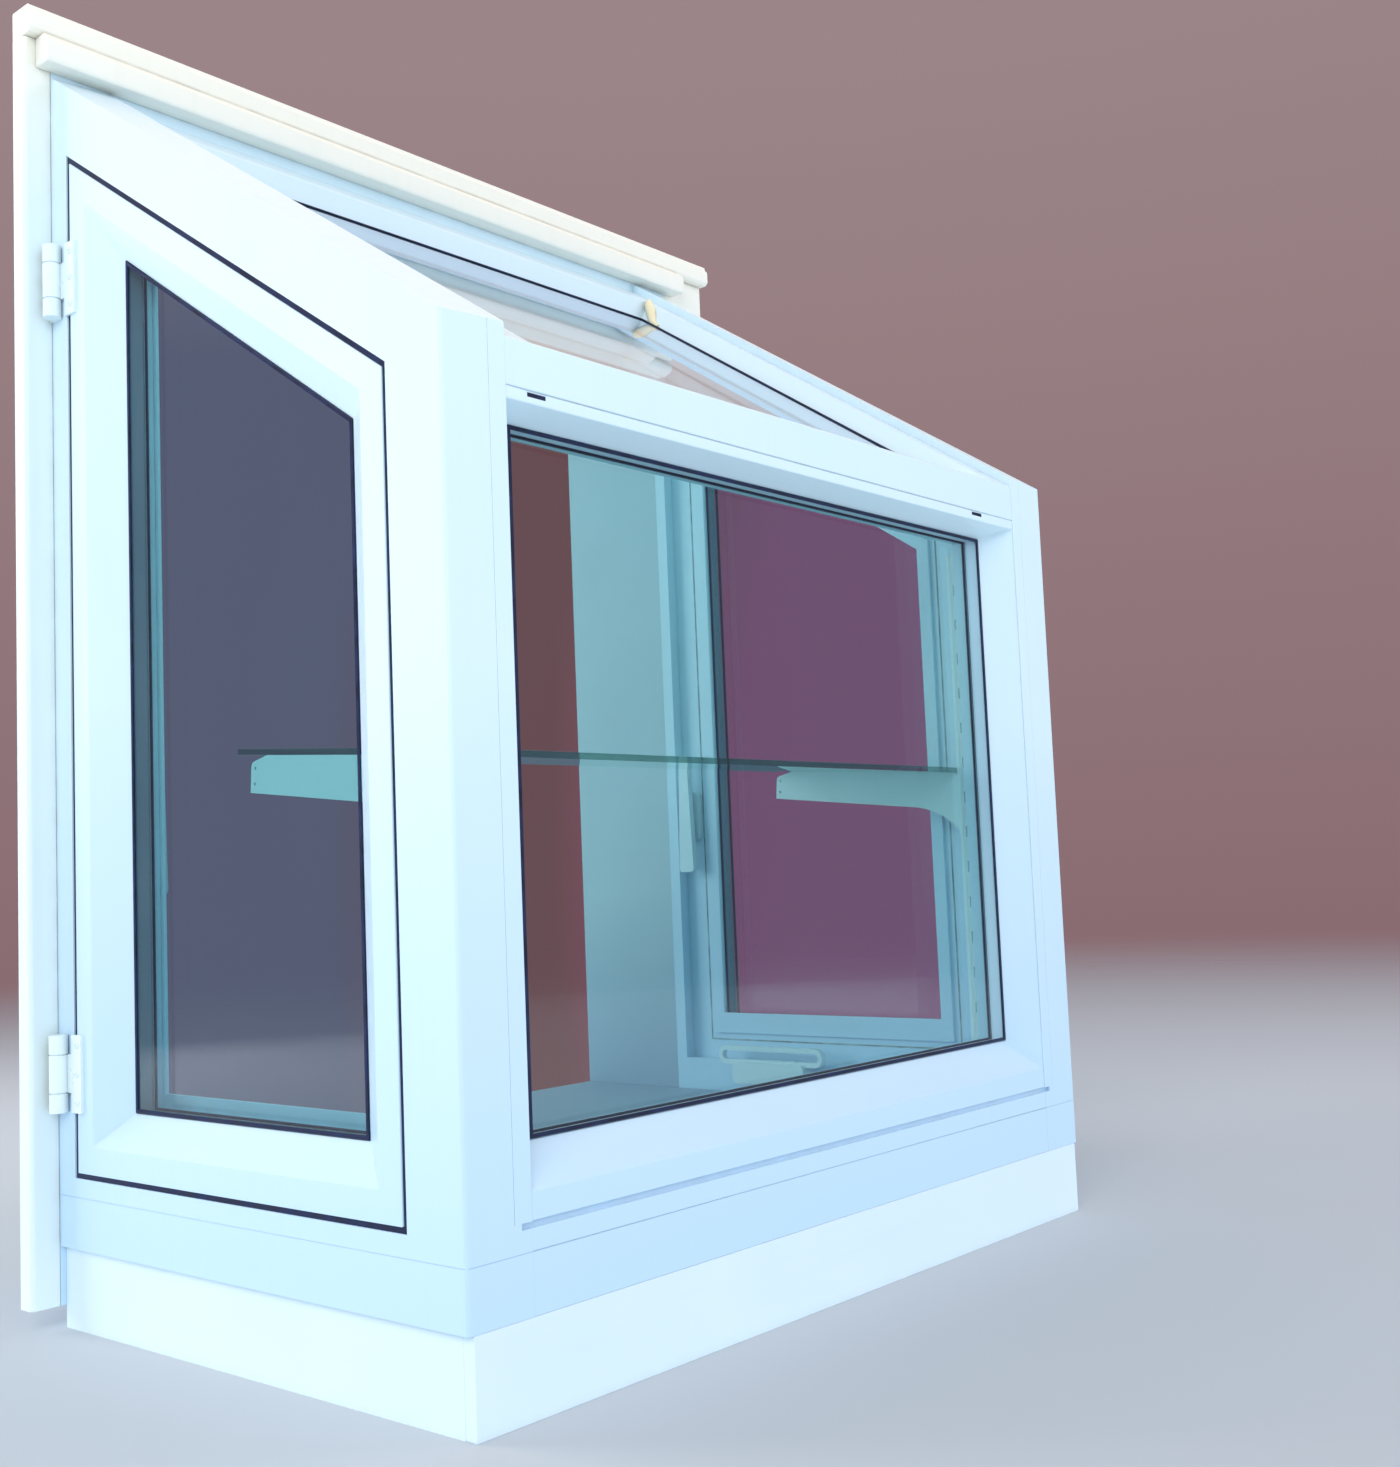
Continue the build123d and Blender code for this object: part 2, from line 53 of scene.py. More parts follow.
# Driving sizes, the same as in the part's source
HALF_WIDTH = 0.4572
PROJECTION = 0.59
FRONT_HEIGHT = 0.7568
PITCH = math.radians(33.8)
WALL_FRAME_DEPTH = 0.022
SIDE_DEPTH = 0.0656
SIDE_WALL_STILE = 0.0278
SIDE_FRONT_STILE = 0.065
SIDE_BOTTOM_RAIL = 0.0646
SIDE_TOP_RAIL = 0.0618
SASH_GAP = 0.005
SASH_STILE = 0.069
SASH_RAIL = 0.0605
SILL_TOP = 0.0692
FRONT_TOP = 0.707
FRONT_SIDE = 0.0282
FRONT_BOTTOM = 0.0538
FRONT_UPPER = 0.0208
ROOF_SIDE = 0.0424
ROOF_FRONT = 0.038
ROOF_WALL = 0.071
SIDE_GLASS = 0.0227
FRONT_GLASS = 0.031
ROOF_GLASS = 0.032
GLASS_THICKNESS = 0.018
FLOOR_LEVEL = -0.0754
FRONT_HALF = HALF_WIDTH - SIDE_DEPTH


# Places and outlines on the panels


def roof_height(reach):
    """Height of the side frames' sloping top at this distance out from the wall."""
    return FRONT_HEIGHT + (PROJECTION - reach) * math.tan(PITCH)


def side_place(side):
    """Turns (reach, height, depth) on a side panel into a point."""
    return lambda x, y, depth: Vector((SIDES[side] * (HALF_WIDTH - depth), -x, y))


def front_place(x, y, depth):
    """Turns (x, height, depth) on the front into a point."""
    return Vector((x, -PROJECTION + depth, y))


def roof_place(x, y, depth):
    """Turns (x, distance up the slope, depth) on the roof into a point."""
    return Vector(
        (
            x,
            -PROJECTION + depth * math.sin(PITCH) + y * math.cos(PITCH),
            FRONT_HEIGHT - depth * math.cos(PITCH) + y * math.sin(PITCH),
        )
    )


def side_ring(stile, rail):
    """Outline inside the casement's opening, drawn in by these widths, from its two lower corners on."""
    inner = WALL_FRAME_DEPTH + SIDE_WALL_STILE + stile
    outer = PROJECTION - SIDE_FRONT_STILE - stile
    drop = (SIDE_TOP_RAIL + rail) / math.cos(PITCH)
    low = SIDE_BOTTOM_RAIL + rail
    upper = [(outer, roof_height(outer) - drop), (inner, roof_height(inner) - drop)]
    return [(inner, low), (outer, low), *upper]


def side_sight(inset):
    """Outline of the casement's glass opening, drawn in by an inset."""
    return side_ring(SASH_STILE + inset, SASH_RAIL + inset)


def front_sight(inset):
    """Outline of the front glass opening, drawn in by an inset."""
    edge = FRONT_HALF - FRONT_SIDE - inset
    low = SILL_TOP + FRONT_BOTTOM + inset
    high = FRONT_TOP - FRONT_UPPER - inset
    return [(-edge, low), (edge, low), (edge, high), (-edge, high)]


def roof_sight(inset):
    """Outline of the roof glass opening in the roof's own plane, drawn in by an inset."""
    edge = FRONT_HALF - ROOF_SIDE - inset
    low = (ROOF_FRONT + inset) / math.cos(PITCH)
    high = (PROJECTION - WALL_FRAME_DEPTH - ROOF_WALL - inset) / math.cos(PITCH)
    return [(-edge, low), (edge, low), (edge, high), (-edge, high)]


# Shader nodes


def add(tree, kind, **values):
    """A new node with these properties."""
    node = tree.nodes.new(kind)
    for key, value in values.items():
        setattr(node, key, value)
    return node


def fill(tree, socket, value):
    """Gives an input a number, a colour or another node's output."""
    if isinstance(value, bpy.types.NodeSocket):
        tree.links.new(value, socket)
    elif isinstance(value, tuple):
        socket.default_value = (*value, 1)
    else:
        socket.default_value = value


def stretched(tree, scale):
    """Object coordinates, scaled by a different amount along each axis."""
    coords = add(tree, "ShaderNodeTexCoord")
    mapping = add(tree, "ShaderNodeMapping")
    mapping.inputs["Scale"].default_value = scale
    tree.links.new(coords.outputs["Object"], mapping.inputs["Vector"])
    return mapping.outputs["Vector"]


EVEN = (1, 1, 1)


def noise(tree, scale, spread=EVEN, detail=4.0):
    """The grey value of a noise texture in the object's own space."""
    node = add(tree, "ShaderNodeTexNoise")
    fill(tree, node.inputs["Scale"], scale)
    fill(tree, node.inputs["Detail"], detail)
    fill(tree, node.inputs["Vector"], stretched(tree, spread))
    return node.outputs["Fac"]


def ranged(tree, value, low, high, to_low=0.0, to_high=1.0, interpolation="LINEAR"):
    """A value mapped from one range to another, and held inside it."""
    node = add(tree, "ShaderNodeMapRange", interpolation_type=interpolation)
    fill(tree, node.inputs["Value"], value)
    for key, number in (("From Min", low), ("From Max", high), ("To Min", to_low), ("To Max", to_high)):
        fill(tree, node.inputs[key], number)
    return node.outputs["Result"]


def blended(tree, factor, first, second):
    """A colour mixed from two colours."""
    node = add(tree, "ShaderNodeMix", data_type="RGBA")
    for place, value in ((0, factor), (6, first), (7, second)):
        fill(tree, node.inputs[place], value)
    return node.outputs[2]


def maths(tree, operation, *values):
    """The result of a calculation with up to three values."""
    node = add(tree, "ShaderNodeMath", operation=operation)
    for place, value in enumerate(values):
        fill(tree, node.inputs[place], value)
    return node.outputs[0]


def layered(tree, factor, first, second):
    """A surface mixed from two surfaces."""
    node = add(tree, "ShaderNodeMixShader")
    for place, value in enumerate((factor, first, second)):
        fill(tree, node.inputs[place], value)
    return node.outputs[0]


def bumped(tree, shader, layers):
    """Gives a shader a bump from (height, strength, distance) layers."""
    normal = None
    for height, strength, distance in layers:
        node = add(tree, "ShaderNodeBump")
        fill(tree, node.inputs["Strength"], strength)
        fill(tree, node.inputs["Distance"], distance)
        fill(tree, node.inputs["Height"], height)
        if normal is not None:
            fill(tree, node.inputs["Normal"], normal)
        normal = node.outputs["Normal"]
    fill(tree, shader.inputs["Normal"], normal)


def new_material(name):
    """A node material, with its tree and its Principled shader."""
    mat = bpy.data.materials.new(name)
    mat.use_nodes = True
    return mat, mat.node_tree, mat.node_tree.nodes["Principled BSDF"]


# Materials

RECESS_SAMPLES = 3
RECESS_BAND = (0.75, 0.25)


def recess(tree, reach):
    """How far a place lies in a corner or groove: 1 deep inside, 0 in the open."""
    node = add(tree, "ShaderNodeAmbientOcclusion", samples=RECESS_SAMPLES)
    fill(tree, node.inputs["Distance"], reach)
    return ranged(tree, node.outputs["AO"], *RECESS_BAND)


# Noise scales of the painted looks, with the band of grey values that each noise uses
MOTTLE_SCALE, MOTTLE_BAND = 7.0, (0.35, 0.65)
STREAK_SCALE, STREAK_BAND = 26.0, (0.52, 0.78)
CORNER_PATCH_SCALE, CORNER_PATCH_BAND = 40.0, (0.3, 0.62)
SHEEN_SCALE, SHEEN_BAND = 90.0, (0.3, 0.7)
WAVE_SCALE, WAVE_DETAIL = 9.0, 1.0
GRAIN_SCALE = 900.0
# How strongly they show
STREAK_SHARE = 0.07
# Painted shade: how far the darkening in corners and recesses reaches, and its patchy levels
CORNER_SHADE_REACH = 0.012
CORNER_PATCH_LEVELS = (0.35, 1.0)
SHEEN_BELOW, SHEEN_ABOVE = 0.05, 0.08
WAVE_STRENGTH, WAVE_DISTANCE = 0.25, 0.0012
GRAIN_DISTANCE = 0.0002

# Dirt-and-shade colours: streaks darken towards them as dirt, and corners and recesses as painted shade mixed
# with dirt
DIRT_AND_SHADE_GREY = (0.36, 0.41, 0.44)
BROWN = (0.34, 0.27, 0.20)


def painted(name, base, shade, gloss, grain, dirt_and_shade_share, streaks=EVEN, dirt_and_shade=DIRT_AND_SHADE_GREY, turn=None):
    """A pale moulded or painted surface: soft mottling, faint streaks, dirt and painted shade in corners, a
    fine grain.

    A turn (colour, from height, to height) lets another colour take over between two heights, as aged paint on
    the trim and as painted shade that makes the lower rails darker and bluer.
    """
    mat, tree, shader = new_material(name)
    mottle = ranged(tree, noise(tree, MOTTLE_SCALE), *MOTTLE_BAND)
    colour = blended(tree, mottle, base, shade)
    if turn:
        other, start, end = turn
        split = add(tree, "ShaderNodeSeparateXYZ")
        fill(tree, split.inputs[0], stretched(tree, EVEN))
        colour = blended(tree, ranged(tree, split.outputs["Z"], start, end), colour, other)
    streak = ranged(tree, noise(tree, STREAK_SCALE, streaks), *STREAK_BAND)
    colour = blended(tree, maths(tree, "MULTIPLY", streak, STREAK_SHARE * dirt_and_shade_share), colour, dirt_and_shade)
    # Painted shade mixed with dirt: corners and recesses, found by ambient occlusion, darken in patches
    # towards that colour
    patches = ranged(tree, noise(tree, CORNER_PATCH_SCALE), *CORNER_PATCH_BAND, *CORNER_PATCH_LEVELS)
    overlay = maths(tree, "MULTIPLY", recess(tree, CORNER_SHADE_REACH), patches)
    colour = blended(tree, maths(tree, "MULTIPLY", overlay, dirt_and_shade_share), colour, dirt_and_shade)
    fill(tree, shader.inputs["Base Color"], colour)
    sheen = ranged(tree, noise(tree, SHEEN_SCALE), *SHEEN_BAND, gloss - SHEEN_BELOW, gloss + SHEEN_ABOVE)
    fill(tree, shader.inputs["Roughness"], sheen)
    waves = (noise(tree, WAVE_SCALE, detail=WAVE_DETAIL), WAVE_STRENGTH, WAVE_DISTANCE)
    bumped(tree, shader, [waves, (noise(tree, GRAIN_SCALE), grain, GRAIN_DISTANCE)])
    return mat


# Glass reflects this share of the light face on, and this much more as it turns to its edge
MIRROR_FACE_ON = 0.07
MIRROR_RISE = 0.92
MIRROR_POWER = 4.5
MIRROR_BLEND = 0.5
MIRROR_ROUGHNESS = 0.02
DUST = (0.62, 0.72, 0.74)
DUST_SCALE, DUST_SPREAD, DUST_BAND = 6.0, (1.0, 1.0, 0.45), (0.45, 0.8)


def glass(name, tint, shine, smear):
    """Clear sheet glass: tinted by each face, with a Fresnel reflection and faint smears in the light."""
    mat, tree, shader = new_material(name)
    tree.nodes.remove(shader)
    clear = add(tree, "ShaderNodeBsdfTransparent")
    mirror = add(tree, "ShaderNodeBsdfGlossy")
    dust = add(tree, "ShaderNodeBsdfDiffuse")
    fill(tree, clear.inputs["Color"], tint)
    fill(tree, mirror.inputs["Color"], shine)
    fill(tree, mirror.inputs["Roughness"], MIRROR_ROUGHNESS)
    fill(tree, dust.inputs["Color"], DUST)
    weight = add(tree, "ShaderNodeLayerWeight")
    fill(tree, weight.inputs["Blend"], MIRROR_BLEND)
    bend = maths(tree, "POWER", weight.outputs["Facing"], MIRROR_POWER)
    reflected = maths(tree, "MULTIPLY_ADD", bend, MIRROR_RISE, MIRROR_FACE_ON)
    sheet = layered(tree, reflected, clear.outputs[0], mirror.outputs[0])
    overlay = ranged(tree, noise(tree, DUST_SCALE, DUST_SPREAD), *DUST_BAND, 0.0, smear)
    dusty = layered(tree, overlay, sheet, dust.outputs[0])
    fill(tree, tree.nodes["Material Output"].inputs["Surface"], dusty)
    return mat


RUBBER_SCALE, RUBBER_BAND = 60.0, (0.35, 0.7)
RUBBER_ROUGHNESS = (0.42, 0.62)
RUBBER_PALER, RUBBER_LIFT = 2.2, 0.006
RUBBER_GRAIN_SCALE, RUBBER_GRAIN = 600.0, 0.2


def rubber(name, base):
    """Soft gasket rubber with a dusty sheen."""
    mat, tree, shader = new_material(name)
    dust = ranged(tree, noise(tree, RUBBER_SCALE), *RUBBER_BAND)
    paler = tuple(RUBBER_PALER * value + RUBBER_LIFT for value in base)
    fill(tree, shader.inputs["Base Color"], blended(tree, dust, base, paler))
    fill(tree, shader.inputs["Roughness"], ranged(tree, dust, 0, 1, *RUBBER_ROUGHNESS))
    bumped(tree, shader, [(noise(tree, RUBBER_GRAIN_SCALE), RUBBER_GRAIN, GRAIN_DISTANCE)])
    return mat


LOOKS = {
    "vinyl": painted(
        "vinyl_look",
        base=(0.74, 0.89, 0.97),
        shade=(0.72, 0.88, 0.96),
        gloss=0.34,
        grain=0.05,
        dirt_and_shade_share=0.3,
        streaks=(3, 3, 0.2),
        # Painted shade: below half a metre the vinyl turns darker and bluer towards the bottom
        turn=((0.58, 0.78, 0.96), 0.50, 0.02),
    ),
    "trim": painted(
        "trim_look",
        base=(0.82, 0.92, 0.93),
        shade=(0.80, 0.90, 0.91),
        gloss=0.55,
        grain=0.25,
        dirt_and_shade_share=0.5,
        streaks=(4, 4, 0.15),
        # Brown dirt, and brown painted shade in the trim's corners and recesses
        dirt_and_shade=BROWN,
        turn=((0.93, 0.90, 0.80), 0.98, 1.16),
    ),
    "skirt": painted(
        "skirt_look",
        base=(0.77, 0.90, 0.97),
        shade=(0.75, 0.88, 0.96),
        gloss=0.40,
        grain=0.08,
        dirt_and_shade_share=0.3,
        streaks=(0.3, 0.3, 4),
    ),
    "lining": painted(
        "lining_look",
        base=(0.57, 0.68, 0.72),
        shade=(0.55, 0.66, 0.70),
        gloss=0.48,
        grain=0.08,
        dirt_and_shade_share=0.4,
        streaks=(2, 2, 0.3),
        # Painted shade: the lining turns darker and bluer towards the bottom
        turn=((0.34, 0.45, 0.58), 0.30, 0.04),
    ),
    "hinge": painted(
        "hinge_look",
        base=(0.84, 0.94, 0.96),
        shade=(0.82, 0.92, 0.95),
        gloss=0.30,
        grain=0.06,
        dirt_and_shade_share=0.25,
        streaks=(3, 3, 1),
    ),
    "bracket": painted(
        "bracket_look",
        base=(0.88, 0.98, 0.98),
        shade=(0.86, 0.96, 0.96),
        gloss=0.32,
        grain=0.06,
        dirt_and_shade_share=0.4,
    ),
    "handle": painted(
        "handle_look",
        base=(0.80, 0.92, 0.96),
        shade=(0.78, 0.90, 0.94),
        gloss=0.30,
        grain=0.06,
        dirt_and_shade_share=0.4,
    ),
    "glass": glass("glass_look", tint=(0.70, 0.86, 0.87), shine=(0.96, 0.93, 0.98), smear=0.010),
    "shelf_glass": glass("shelf_glass_look", tint=(0.55, 0.70, 0.66), shine=(0.9, 0.97, 0.95), smear=0.012),
    # Near-black navy gasket rubber; the weatherstrips and weep slot blocks take the same look as painted shade
    "gasket": rubber("gasket_and_shadow_look", (0.004, 0.009, 0.040)),
}
SPACER = painted(
    "spacer_look",
    base=(0.78, 0.82, 0.95),
    shade=(0.74, 0.79, 0.92),
    gloss=0.4,
    grain=0.02,
    dirt_and_shade_share=0.1,
)
ENAMEL = painted(
    "screw_look",
    base=(0.80, 0.90, 0.94),
    shade=(0.76, 0.87, 0.92),
    gloss=0.30,
    grain=0.05,
    dirt_and_shade_share=0.4,
)
# Painted shade: a darker copy of the spacer look, for the side panels whose spacers face away from the light
SHADED_SPACER = painted(
    "shaded_side_spacer_look",
    base=(0.22, 0.27, 0.33),
    shade=(0.17, 0.22, 0.28),
    gloss=0.4,
    grain=0.02,
    dirt_and_shade_share=0.1,
)
# Painted shade: a dark grey-teal strip that stands for the shadow line in a groove inside each casement
SHADOW_STRIP = rubber("shadow_strip_look", (0.20, 0.26, 0.27))
SEALANT = painted(
    "sealant_look",
    base=(0.93, 0.84, 0.58),
    shade=(0.88, 0.74, 0.46),
    gloss=0.42,
    grain=0.2,
    dirt_and_shade_share=0.7,
    dirt_and_shade=BROWN,
)

# The CAD nodes take their slot's look, and a fine rounding of their edges
ROUNDINGS = {
    "vinyl": 0.0010,
    "trim": 0.0014,
    "skirt": 0.0012,
    "lining": 0.0010,
    "hinge": 0.0004,
    "bracket": 0.0007,
    "handle": 0.0008,
    "gasket": 0.0003,
    "shelf_glass": 0.0006,
}
ROUNDING_SEGMENTS = 2
ROUNDING_ANGLE = math.radians(28)
WELD_DISTANCE = 0.00001


def rounded(obj, width):
    """Rounds an object's sharp edges a little, as moulded and painted things are."""
    weld = obj.modifiers.new("weld", "WELD")
    weld.merge_threshold = WELD_DISTANCE
    bevel = obj.modifiers.new("edges", "BEVEL")
    bevel.width = width
    bevel.segments = ROUNDING_SEGMENTS
    bevel.limit_method = "ANGLE"
    bevel.angle_limit = ROUNDING_ANGLE
    bevel.use_clamp_overlap = True
    bevel.harden_normals = False
    normals = obj.modifiers.new("normals", "WEIGHTED_NORMAL")
    normals.keep_sharp = False


slots = {entry["node"]: entry["material_slot"] for entry in frame["record"]["subparts"]}
for name, obj in nodes.items():
    slot = slots[name]
    obj.data.materials.clear()
    obj.data.materials.append(LOOKS[slot])
    if slot in ROUNDINGS:
        rounded(obj, ROUNDINGS[slot])


# Ways to build the pieces that Blender adds


def new_object(name, mesh, material):
    """An object in the scene from a finished bmesh."""
    data = bpy.data.meshes.new(name)
    mesh.to_mesh(data)
    mesh.free()
    data.materials.append(material)
    obj = bpy.data.objects.new(name, data)
    bpy.context.scene.collection.objects.link(obj)
    return obj


def piece(name, build, material, smooth=None, bevel=None):
    """A new mesh piece, made by build(mesh), that rides on the part; smooth is an angle in degrees."""
    mesh = bmesh.new()
    build(mesh)
    bmesh.ops.recalc_face_normals(mesh, faces=mesh.faces)
    obj = new_object(name, mesh, material)
    if smooth is not None:
        obj.data.shade_smooth()
        obj.data.set_sharp_from_angle(angle=math.radians(smooth))
    if bevel is not None:
        rounded(obj, bevel)
    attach(obj, "root")


def skin(mesh, rings):
    """Faces between rings of as many vertices each; a ring of one vertex is a tip."""
    for low, high in zip(rings, rings[1:]):
        count = max(len(low), len(high))
        for k in range(count):
            j = (k + 1) % count
            if len(low) == 1:
                mesh.faces.new((low[0], high[j], high[k]))
            elif len(high) == 1:
                mesh.faces.new((low[k], low[j], high[0]))
            else:
                mesh.faces.new((low[k], low[j], high[j], high[k]))


def circle(radius, height, steps):
    """Points of a circle round the Z axis."""
    angles = [2 * math.pi * k / steps for k in range(steps)]
    return [Vector((radius * math.cos(angle), radius * math.sin(angle), height)) for angle in angles]


def ring(place, outer, inner, near, far):
    """A frame-shaped strip between two outlines and two depths."""

    def build(mesh):
        loops = [
            [mesh.verts.new(place(x, y, depth)) for x, y in outline]
            for outline, depth in ((outer, near), (inner, near), (inner, far), (outer, far))
        ]
        skin(mesh, [*loops, loops[0]])

    return build


def block(low, high):
    """A box between two corners."""

    def build(mesh):
        made = bmesh.ops.create_cube(mesh, size=1.0)
        bmesh.ops.scale(mesh, vec=high - low, verts=made["verts"])
        bmesh.ops.translate(mesh, vec=(low + high) / 2, verts=made["verts"])

    return build


# Sides of the round forms
SCREW_STEPS = 24
SMEAR_STEPS = 10


def turned(profile, matrix):
    """A closed form turned round its Z axis, from (radius, height) pairs that start and end on the axis."""

    def build(mesh):
        rings = []
        for radius, height in profile:
            spots = circle(radius, height, SCREW_STEPS) if radius else [Vector((0, 0, height))]
            rings.append([mesh.verts.new(matrix @ spot) for spot in spots])
        skin(mesh, rings)

    return build


def swept(points, radii):
    """A closed round form that runs through points, with its own radius at each."""

    def build(mesh):
        rings = []
        for k, point in enumerate(points):
            ahead = points[min(k + 1, len(points) - 1)] - points[max(k - 1, 0)]
            heading = ahead.to_track_quat("Z", "Y")
            rings.append([mesh.verts.new(point + heading @ spot) for spot in circle(radii[k], 0, SMEAR_STEPS)])
        skin(mesh, rings)
        mesh.faces.new(rings[0])
        mesh.faces.new(list(reversed(rings[-1])))

    return build


def facing(point, direction):
    """A matrix at a point whose Z axis follows a direction."""
    heading = Vector(direction).to_track_quat("Z", "Y").to_matrix().to_4x4()
    return Matrix.Translation(point) @ heading


# Pieces that Blender adds

# Seals of the glass: a spacer in each unit, hidden but for its edge, and an inner gasket on the unit's bead
SPACER_HIDDEN = 0.007
SPACER_SHOWN = 0.0006
SPACER_SHEET = 0.002
INNER_GASKET_WIDTH = 0.0024
INNER_GASKET_DEPTH = 0.0018
INNER_GASKET_ROUNDING = 0.0003
PANELS = {
    "left": (side_place("left"), side_sight, SIDE_GLASS),
    "right": (side_place("right"), side_sight, SIDE_GLASS),
    "front": (front_place, front_sight, FRONT_GLASS),
    "roof": (roof_place, roof_sight, ROOF_GLASS),
}
for label, (place, sight, depth) in PANELS.items():
    back = depth + GLASS_THICKNESS
    piece(
        f"spacer_{label}",
        ring(place, sight(-SPACER_HIDDEN), sight(SPACER_SHOWN), depth + SPACER_SHEET, back - SPACER_SHEET),
        # Painted shade: the side panels take the darker copy of the spacer
        SHADED_SPACER if label in SIDES else SPACER,
    )
    piece(
        f"inner_gasket_{label}",
        ring(place, sight(0.0), sight(INNER_GASKET_WIDTH), back, back + INNER_GASKET_DEPTH),
        LOOKS["gasket"],
        bevel=INNER_GASKET_ROUNDING,
    )

# Near-black weatherstrips in the gap round each casement, which also paint the shade of the deep gap
WEATHERSTRIP_AND_GAP_SHADE_DEPTHS = (0.0016, 0.012)
for side in SIDES:
    piece(
        f"weatherstrip_and_gap_shade_{side}",
        ring(side_place(side), side_ring(0, 0), side_ring(SASH_GAP, SASH_GAP), *WEATHERSTRIP_AND_GAP_SHADE_DEPTHS),
        LOOKS["gasket"],
    )

# Inside each casement: a slim stop behind the bead, higher along the sill, and round it a dark strip that
# paints the shadow line of a groove. Their insets count from the edge of the glass opening, and their depths
# from the side frame's outer face.
STOP_OUTER = -0.012
STOP_INNER = 0.004
STOP_RISE = 0.010
STOP_DEPTHS = (0.0502, 0.0535)
STOP_ROUNDING = 0.0006
SHADOW_STRIP_OUTER = -0.0215
SHADOW_STRIP_INNER = -0.0195
SHADOW_STRIP_DEPTHS = (0.0496, 0.0503)
for side in SIDES:
    place = side_place(side)
    corners = side_sight(STOP_INNER)
    within = [(x, y + STOP_RISE) for x, y in corners[:2]] + corners[2:]
    piece(
        f"inner_stop_{side}",
        ring(place, side_sight(STOP_OUTER), within, *STOP_DEPTHS),
        LOOKS["vinyl"],
        bevel=STOP_ROUNDING,
    )
    piece(
        f"inner_shadow_strip_{side}",
        ring(place, side_sight(SHADOW_STRIP_OUTER), side_sight(SHADOW_STRIP_INNER), *SHADOW_STRIP_DEPTHS),
        SHADOW_STRIP,
    )

# Painted shadow: a dark block fills each weep slot under the front frame's top edge
WEEP_CENTRES = {"left": -0.3575, "right": 0.3148}
WEEP_HALF = 0.0099
WEEP_NEAR, WEEP_FAR = 0.0010, 0.0065
WEEP_BOTTOM, WEEP_TOP = FRONT_TOP - 0.0052, FRONT_TOP - 0.0019
for label, centre in WEEP_CENTRES.items():
    low = Vector((centre - WEEP_HALF, -PROJECTION + WEEP_NEAR, WEEP_BOTTOM))
    high = Vector((centre + WEEP_HALF, -PROJECTION + WEEP_FAR, WEEP_TOP))
    piece(f"weep_shadow_{label}", block(low, high), LOOKS["gasket"])

# Yellowed sealant in the roof's upper corners: for each point of the smear, its distance across and along the
# roof from the corner of the glass, its depth and its radius
SMEAR = [
    (0.014, 0.014, 0.0085, 0.0040),
    (0.008, 0.006, 0.0120, 0.0062),
    (0.006, -0.004, 0.0180, 0.0070),
    (0.004, -0.012, 0.0240, 0.0062),
    (0.002, -0.020, 0.0300, 0.0054),
    (0.000, -0.032, 0.0310, 0.0030),
]
corner_x, corner_y = roof_sight(0)[2]
for side, sign in SIDES.items():
    points = [
        roof_place(sign * (corner_x + across), corner_y + along, depth)
        for across, along, depth, radius in SMEAR
    ]
    radii = [radius for across, along, depth, radius in SMEAR]
    piece(f"sealant_{side}", swept(points, radii), SEALANT, smooth=60)

# Screws on the hinges' casement leaves: (radius, height) pairs of a screw's head, from its foot to its recess
SCREW = [
    (0, 0.0),
    (0.0030, 0.0),
    (0.0030, 0.0004),
    (0.0024, 0.0012),
    (0.0012, 0.0015),
    (0.0010, 0.0008),
    (0, 0.0008),
]
SCREW_STEP = 0.026
LEAF_FACE = HALF_WIDTH + 0.0032
LEAF_REACH = 0.0608
for side, sign in SIDES.items():
    outward = Vector((sign, 0, 0))
    for level in ("lower", "upper"):
        low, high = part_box(f"hinge_{level}_{side}")
        middle = (low[2] + high[2]) / 2
        for k, step in enumerate((-SCREW_STEP, 0.0, SCREW_STEP)):
            spot = Vector((sign * LEAF_FACE, -LEAF_REACH, middle + step))
            piece(
                f"hinge_screw_{level}_{side}_{k + 1}",
                turned(SCREW, facing(spot, outward)),
                ENAMEL,
                smooth=40,
            )


# Floor

FLOOR_REACH = 40
FLOOR_COLOUR = (0.57, 0.60, 0.64)
FLOOR_ROUGHNESS = 0.9
FLOOR_SHINE = 0.1
FADE_START, FADE_END = 0.8, 7.0
# Light that the floor sends up as a reflector would, so that undersides stay as light as in the photograph
FLOOR_BOUNCE = (0.84, 0.98, 1.10)


def floor_material():
    """Pale matt floor that thins out before the backdrop and behind the glass, so that no edge shows."""
    mat, tree, shader = new_material("floor_look")
    fill(tree, shader.inputs["Base Color"], FLOOR_COLOUR)
    fill(tree, shader.inputs["Roughness"], FLOOR_ROUGHNESS)
    fill(tree, shader.inputs["Specular IOR Level"], FLOOR_SHINE)
    coords = add(tree, "ShaderNodeTexCoord")
    span = add(tree, "ShaderNodeVectorMath", operation="LENGTH")
    fill(tree, span.inputs[0], coords.outputs["Object"])
    fade = ranged(tree, span.outputs["Value"], FADE_START, FADE_END, interpolation="SMOOTHSTEP")
    path = add(tree, "ShaderNodeLightPath")
    behind_glass = ranged(tree, path.outputs["Transparent Depth"], 0.0, 1.0)
    glazed = maths(tree, "MULTIPLY", behind_glass, path.outputs["Is Camera Ray"])
    clear = add(tree, "ShaderNodeBsdfTransparent")
    thinned = layered(tree, maths(tree, "MAXIMUM", fade, glazed), shader.outputs[0], clear.outputs[0])
    bounce = add(tree, "ShaderNodeEmission")
    fill(tree, bounce.inputs["Color"], FLOOR_BOUNCE)
    lifted = layered(tree, path.outputs["Is Diffuse Ray"], thinned, bounce.outputs[0])
    fill(tree, tree.nodes["Material Output"].inputs["Surface"], lifted)
    return mat


